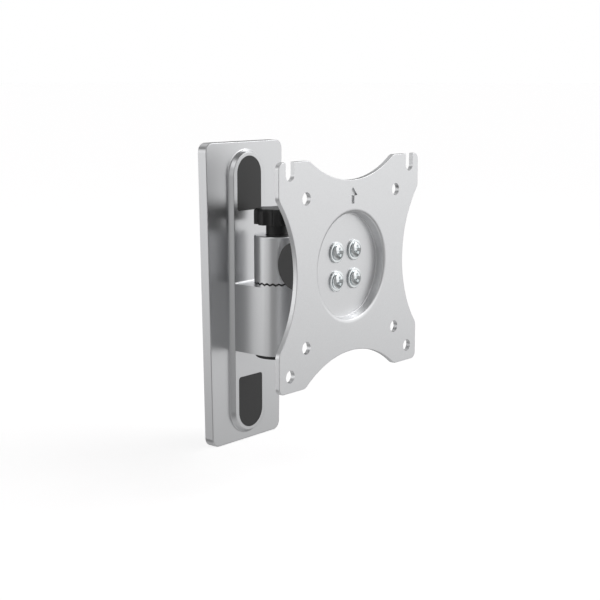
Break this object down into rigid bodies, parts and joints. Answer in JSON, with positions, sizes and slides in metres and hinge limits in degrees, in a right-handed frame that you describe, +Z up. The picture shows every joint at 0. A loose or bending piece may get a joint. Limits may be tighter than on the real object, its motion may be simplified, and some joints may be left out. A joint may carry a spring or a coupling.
{
  "type": "rv tv mount",
  "caption": "Wall bracket for a small television: toothed swivel clamped by a knob, tilting head and a waisted plate with a round recess",
  "frame": {"origin": "centre of the wall bracket's back face, where it meets the wall", "axes": "+Y into the wall, +Z up, +X to the right when facing the wall; the television side faces -Y"},
  "size_m": [0.1168, 0.0807, 0.1684],
  "materials": {
    "silver_casting": "silver-grey satin paint on a die casting",
    "silver_sheet": "silver-grey powder coat on pressed steel",
    "grey_plastic": "fine matt, dark grey",
    "black_plastic": "satin, black",
    "bush_plastic": "natural acetal",
    "plain_steel": "plain steel",
    "bright_zinc": "bright zinc plate with a faint blue tone"
  },
  "bodies": {
    "wall": {"wall_bracket": "silver_casting", "upper_cover": "grey_plastic", "lower_cover": "grey_plastic", "clamp_nut": "plain_steel", "bottom_cap": "black_plastic", "lift_spring": "plain_steel"},
    "sleeve": {"swivel_bush": "bush_plastic", "thrust_washer": "plain_steel"},
    "knob": {"clamp_knob": "black_plastic", "clamp_stud": "plain_steel"},
    "head": {"swivel_head": "silver_casting", "tilt_bush": "bush_plastic", "friction_washers": "bush_plastic"},
    "tilt": {"tilt_block": "silver_casting", "tilt_cap_left": "grey_plastic", "tilt_cap_right": "grey_plastic", "tilt_bolt": "plain_steel", "tilt_nut": "plain_steel", "vesa_plate": "silver_sheet", "plate_screws": "bright_zinc", "plate_washers": "bright_zinc"}
  },
  "joints": [
    {"name": "clamp", "type": "slide", "parent": "wall", "child": "sleeve", "axis": [0, 0, 1], "range_m": [-0.001, 0], "deforming": ["lift_spring"]},
    {"name": "knob_turn", "type": "hinge", "parent": "sleeve", "child": "knob", "pos_m": [0, -0.0289, 0.0448], "axis": [0, 0, 1], "range_deg": [-288, 0]},
    {"name": "swivel", "type": "hinge", "parent": "sleeve", "child": "head", "pos_m": [0, -0.0289, 0.0216], "axis": [0, 0, 1], "range_deg": [-45, 45]},
    {"name": "tilt", "type": "hinge", "parent": "head", "child": "tilt", "pos_m": [0, -0.0533, 0.0205], "axis": [1, 0, 0], "range_deg": [-15, 15]}
  ],
  "couplings": [
    {"joint": "knob_turn", "follows": "clamp", "rad_per_m": 5026.5}
  ]
}
